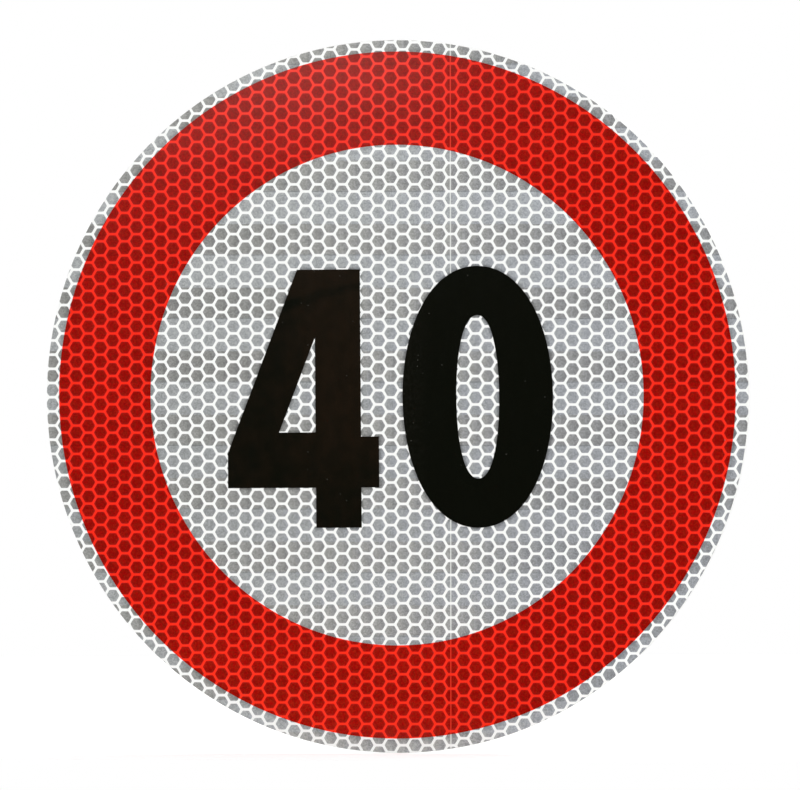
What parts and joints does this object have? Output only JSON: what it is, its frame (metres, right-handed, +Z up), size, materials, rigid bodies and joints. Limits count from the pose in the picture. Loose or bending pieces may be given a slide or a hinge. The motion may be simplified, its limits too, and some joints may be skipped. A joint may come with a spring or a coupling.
{
  "type": "speed limit sign",
  "caption": "Round speed limit sign of honeycomb prismatic reflective sheeting, with a red ring and black numerals, bonded to a flat panel by its back.",
  "frame": {"origin": "centre of the flat back face, which bonds to the panel", "axes": "+Z up, +X to the reader's right, and the face looks along -Y, so +Y points into the panel behind"},
  "size_m": [0.2, 0.0005, 0.2],
  "materials": {
    "sheeting": "clear smooth top film over grey prism cells and a white honeycomb of seal lines",
    "red_print": "transparent red, glossy, with the honeycomb of the sheeting showing through",
    "black_print": "opaque glossy black"
  },
  "bodies": {
    "root": {"sheeting_disc": "sheeting", "red_ring": "red_print", "numeral_4": "black_print", "numeral_0": "black_print"}
  },
  "joints": []
}
